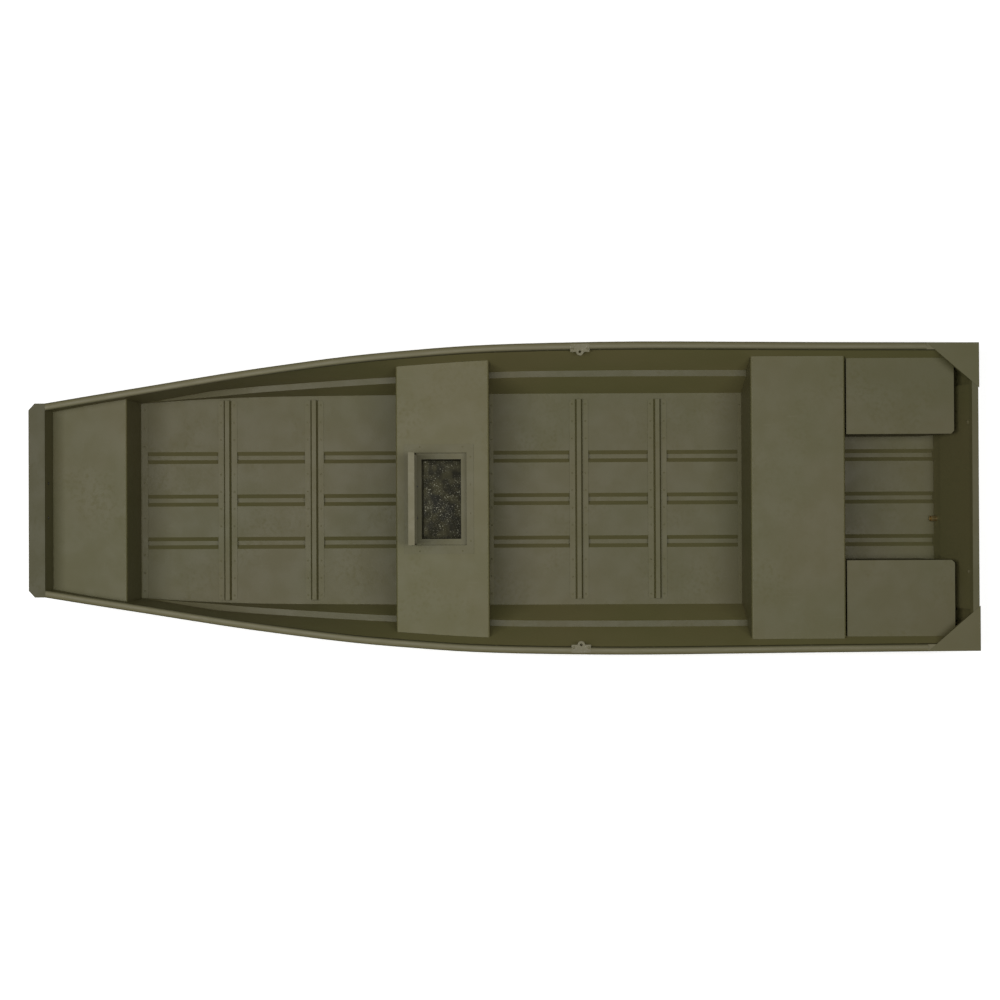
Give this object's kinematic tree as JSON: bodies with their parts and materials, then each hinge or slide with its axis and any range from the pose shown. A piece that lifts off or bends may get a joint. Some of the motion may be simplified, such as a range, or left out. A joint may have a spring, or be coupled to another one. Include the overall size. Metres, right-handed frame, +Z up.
{
  "type": "jon boat",
  "caption": "Flat-bottomed riveted aluminium jon boat with a square bow, bow deck, two bench seats, stern boxes and a livewell with a hinged lid.",
  "frame": {"origin": "on the ground under the middle of the boat, at the foot of the pressed strakes", "axes": "+Y runs aft from the bow to the transom, +X to port, +Z up"},
  "size_m": [1.5072, 4.557, 0.612],
  "materials": {
    "hull_paint": "satin",
    "livewell": "matt",
    "hardware": "satin"
  },
  "bodies": {
    "hull": {"bow_cap": "hull_paint", "bow_deck": "hull_paint", "bow_handle": "hardware", "bow_inner_plate": "hull_paint", "bow_plate": "hull_paint", "corner_gusset_port": "hull_paint", "corner_gusset_starboard": "hull_paint", "drain_tube": "hardware", "floor_rib_1": "hull_paint", "floor_rib_2": "hull_paint", "floor_rib_3": "hull_paint", "floor_rib_4": "hull_paint", "gunwale_port": "hull_paint", "gunwale_starboard": "hull_paint", "hull_bottom": "hull_paint", "livewell_hinge_fixed": "hardware", "livewell_liner": "livewell", "middle_bench": "hull_paint", "oarlock_socket_port": "hardware", "oarlock_socket_starboard": "hardware", "rear_bench": "hull_paint", "side_panel_port": "hull_paint", "side_panel_starboard": "hull_paint", "stern_box_port": "hull_paint", "stern_box_starboard": "hull_paint", "transom_board": "hull_paint", "transom_cap": "hull_paint", "transom_skin": "hull_paint"},
    "lid": {"livewell_lid": "hull_paint", "livewell_hinge_leaf": "hardware"}
  },
  "joints": [
    {"name": "livewell_lid_hinge", "type": "hinge", "parent": "hull", "child": "lid", "pos_m": [0, -0.461, 0.3535], "axis": [1, 0, 0], "range_deg": [-90, 0]}
  ]
}
